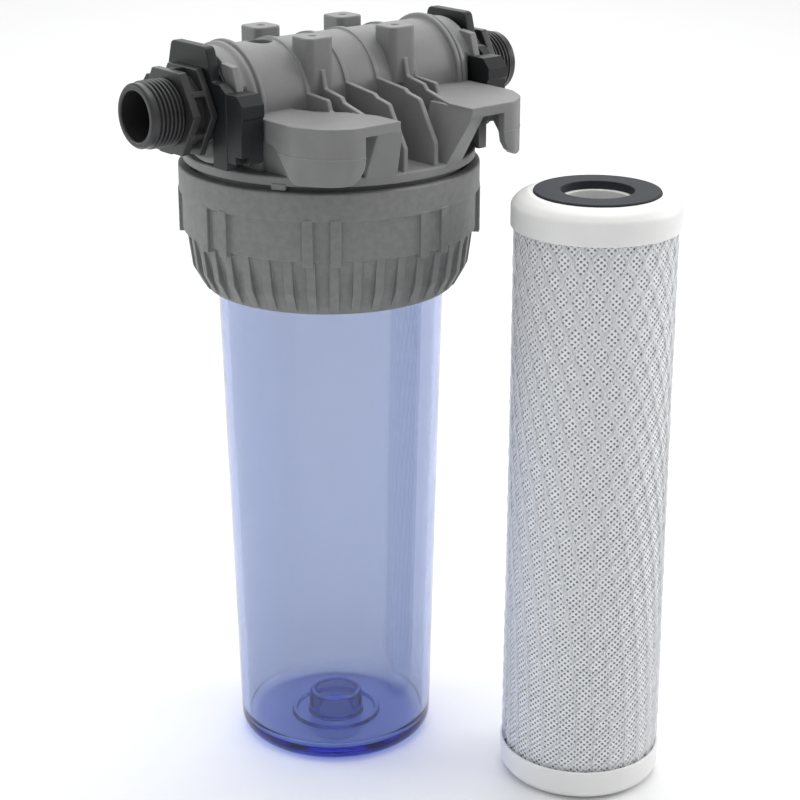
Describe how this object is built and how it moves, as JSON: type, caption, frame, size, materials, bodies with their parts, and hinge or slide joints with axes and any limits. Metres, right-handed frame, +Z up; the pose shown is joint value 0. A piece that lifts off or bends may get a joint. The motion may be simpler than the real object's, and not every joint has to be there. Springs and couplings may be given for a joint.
{
  "type": "inline water filter",
  "caption": "Inline water filter housing with ribbed union nut, clear blue bowl, side ports with clip-in threaded nipples, and a netted block cartridge standing beside it.",
  "frame": {"origin": "centre of the flat foot that the bowl stands on, on the bowl's axis", "axes": "+Z up along the bowl axis, +X along the ports towards the outlet, -Y towards the side where the cartridge stands"},
  "size_m": [0.186, 0.2011, 0.314],
  "materials": {
    "head_grey": "moulded satin, fine texture",
    "nut_grey": "moulded, grained",
    "clear_blue": "clear, polished mould",
    "black_nylon": "glass-filled, semi-gloss",
    "seal_rubber": "moulded, matt",
    "gasket_rubber": "die-cut, matt",
    "white_cap": "moulded, semi-gloss",
    "white_net": "extruded netting",
    "white_wrap": "spun-bonded wrap with fine perforation",
    "carbon": "sintered, porous"
  },
  "bodies": {
    "head": {"head_body": "head_grey", "inlet_nipple": "black_nylon", "outlet_nipple": "black_nylon", "inlet_o_ring_inner": "seal_rubber", "inlet_o_ring_outer": "seal_rubber", "outlet_o_ring_inner": "seal_rubber", "outlet_o_ring_outer": "seal_rubber"},
    "inlet_clip": {"inlet_clip": "black_nylon"},
    "outlet_clip": {"outlet_clip": "black_nylon"},
    "bowl": {"bowl": "clear_blue", "bowl_o_ring": "seal_rubber"},
    "nut": {"ring_nut": "nut_grey"},
    "vent_seal": {"vent_o_ring": "seal_rubber"},
    "vent_screw": {"vent_screw": "black_nylon"},
    "cartridge": {"cartridge_top_cap": "white_cap", "cartridge_bottom_cap": "white_cap", "cartridge_top_gasket": "gasket_rubber", "cartridge_bottom_gasket": "gasket_rubber", "carbon_block": "carbon", "outer_wrap": "white_wrap", "outer_net": "white_net"}
  },
  "joints": [
    {"name": "bowl_drop", "type": "slide", "parent": "head", "child": "bowl", "axis": [0, 0, -1], "range_m": [0, 0.0201]},
    {"name": "nut_turn", "type": "hinge", "parent": "bowl", "child": "nut", "pos_m": [0, 0, 0.234], "axis": [0, 0, -1], "range_deg": [0, 1440]},
    {"name": "inlet_clip_lift", "type": "slide", "parent": "head", "child": "inlet_clip", "axis": [0, 0, 1], "range_m": [0, 0.045]},
    {"name": "outlet_clip_lift", "type": "slide", "parent": "head", "child": "outlet_clip", "axis": [0, 0, 1], "range_m": [0, 0.045]},
    {"name": "vent_rise", "type": "slide", "parent": "head", "child": "vent_seal", "axis": [0, 0, 1], "range_m": [0, 0.00249]},
    {"name": "vent_turn", "type": "hinge", "parent": "vent_seal", "child": "vent_screw", "pos_m": [-0.034, 0, 0.305], "axis": [0, 0, 1], "range_deg": [0, 720]},
    {"name": "cartridge_lift", "type": "slide", "parent": "head", "child": "cartridge", "axis": [0, 0, 1], "range_m": [0, 0.28]}
  ],
  "couplings": [
    {"joint": "bowl_drop", "follows": "nut_turn", "m_per_rad": 0.00079577},
    {"joint": "vent_turn", "follows": "vent_rise", "rad_per_m": 5026.5}
  ]
}
